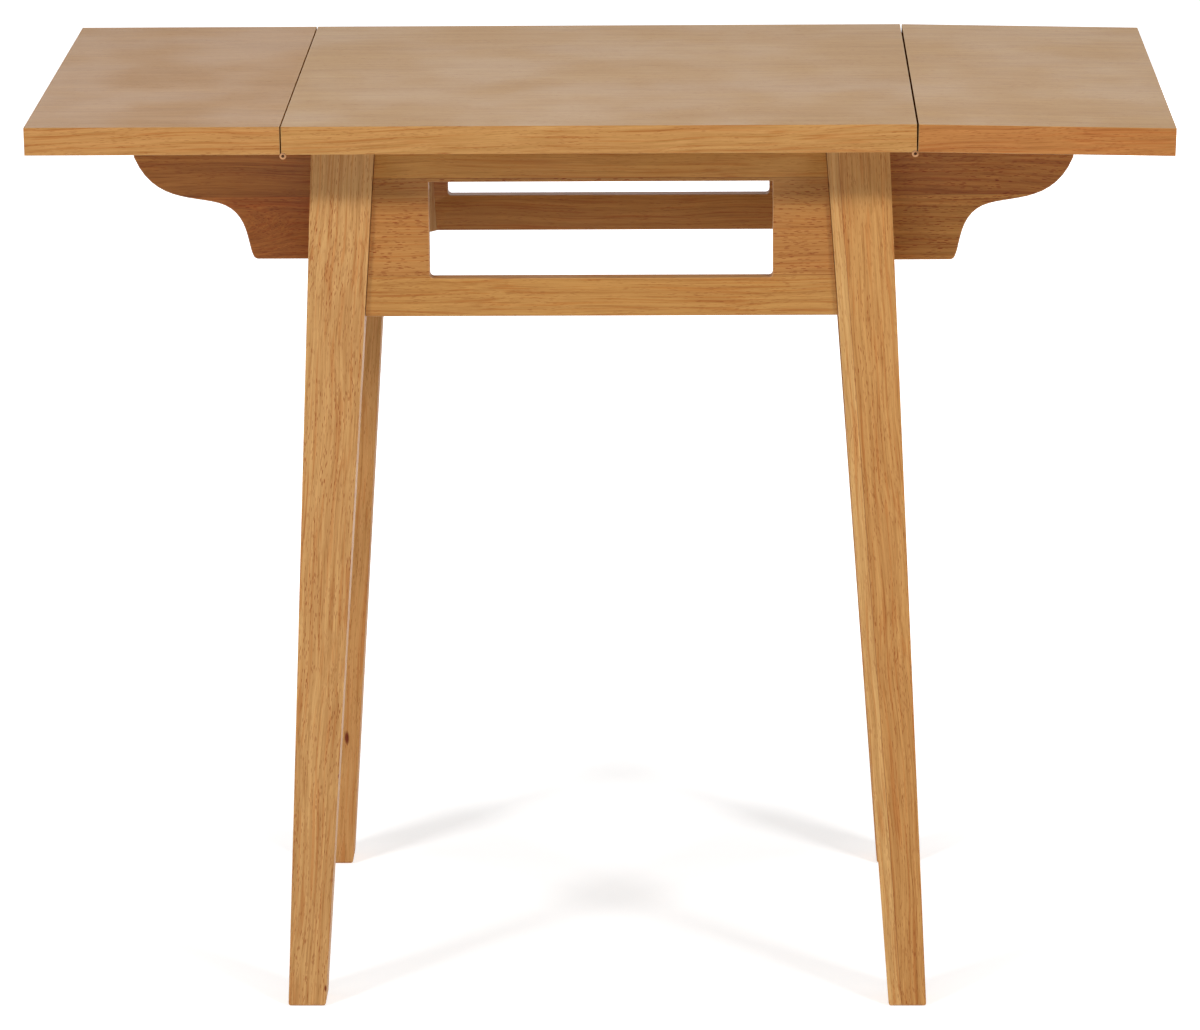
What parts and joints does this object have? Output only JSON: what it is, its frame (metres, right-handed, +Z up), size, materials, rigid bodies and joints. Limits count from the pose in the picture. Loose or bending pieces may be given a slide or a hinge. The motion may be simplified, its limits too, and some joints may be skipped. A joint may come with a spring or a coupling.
{
  "type": "drop leaf table",
  "caption": "Narrow drop leaf table with a pierced apron, tapered splayed legs and hinged leaves on scrolled swing brackets.",
  "frame": {"origin": "on the floor, under the centre of the top", "axes": "+X along the top towards the right leaf, +Y towards the back, +Z up"},
  "size_m": [0.9064, 0.4, 0.75],
  "materials": {
    "top_veneer": "satin lacquer",
    "leg_wood": "satin lacquer",
    "apron_wood": "satin lacquer",
    "bracket_wood": "satin lacquer",
    "inner_wood": "thin lacquer",
    "hinge_brass": "plated, satin",
    "fastener_steel": "zinc plated"
  },
  "bodies": {
    "frame": {"centre_top": "top_veneer", "front_apron": "apron_wood", "front_cleat": "inner_wood", "back_apron": "apron_wood", "back_cleat": "inner_wood", "left_end_rail": "inner_wood", "right_end_rail": "inner_wood", "front_left_leg": "leg_wood", "front_left_brace": "inner_wood", "front_left_upper_bolt": "fastener_steel", "front_left_upper_washer": "fastener_steel", "front_left_upper_nut": "fastener_steel", "front_left_lower_bolt": "fastener_steel", "front_left_lower_washer": "fastener_steel", "front_left_lower_nut": "fastener_steel", "front_right_leg": "leg_wood", "front_right_brace": "inner_wood", "front_right_upper_bolt": "fastener_steel", "front_right_upper_washer": "fastener_steel", "front_right_upper_nut": "fastener_steel", "front_right_lower_bolt": "fastener_steel", "front_right_lower_washer": "fastener_steel", "front_right_lower_nut": "fastener_steel", "back_left_leg": "leg_wood", "back_left_brace": "inner_wood", "back_left_upper_bolt": "fastener_steel", "back_left_upper_washer": "fastener_steel", "back_left_upper_nut": "fastener_steel", "back_left_lower_bolt": "fastener_steel", "back_left_lower_washer": "fastener_steel", "back_left_lower_nut": "fastener_steel", "back_right_leg": "leg_wood", "back_right_brace": "inner_wood", "back_right_upper_bolt": "fastener_steel", "back_right_upper_washer": "fastener_steel", "back_right_upper_nut": "fastener_steel", "back_right_lower_bolt": "fastener_steel", "back_right_lower_washer": "fastener_steel", "back_right_lower_nut": "fastener_steel", "left_seam_hinge_top_wing": "hinge_brass", "left_seam_hinge_pin": "hinge_brass", "left_bracket_hinge_rail_wing": "hinge_brass", "left_bracket_hinge_pin": "hinge_brass", "right_seam_hinge_top_wing": "hinge_brass", "right_seam_hinge_pin": "hinge_brass", "right_bracket_hinge_rail_wing": "hinge_brass", "right_bracket_hinge_pin": "hinge_brass"},
    "left_leaf": {"left_leaf": "top_veneer", "left_leaf_pad": "inner_wood", "left_seam_hinge_leaf_wing": "hinge_brass"},
    "right_leaf": {"right_leaf": "top_veneer", "right_leaf_pad": "inner_wood", "right_seam_hinge_leaf_wing": "hinge_brass"},
    "left_bracket": {"left_bracket": "bracket_wood", "left_bracket_hinge_bracket_wing": "hinge_brass"},
    "right_bracket": {"right_bracket": "bracket_wood", "right_bracket_hinge_bracket_wing": "hinge_brass"}
  },
  "joints": [
    {"name": "left_leaf_lift", "type": "hinge", "parent": "frame", "child": "left_leaf", "pos_m": [-0.2489, 0, 0.7261], "axis": [0, -1, 0], "range_deg": [-2, 0]},
    {"name": "right_leaf_lift", "type": "hinge", "parent": "frame", "child": "right_leaf", "pos_m": [0.2489, 0, 0.7261], "axis": [0, 1, 0], "range_deg": [-3.1, 0]},
    {"name": "left_bracket_swing", "type": "hinge", "parent": "frame", "child": "left_bracket", "pos_m": [-0.229, -0.0397, 0.6658], "axis": [0, 0, -1], "range_deg": [0, 90]},
    {"name": "right_bracket_swing", "type": "hinge", "parent": "frame", "child": "right_bracket", "pos_m": [0.229, -0.0397, 0.6633], "axis": [0, 0, 1], "range_deg": [0, 90]}
  ]
}
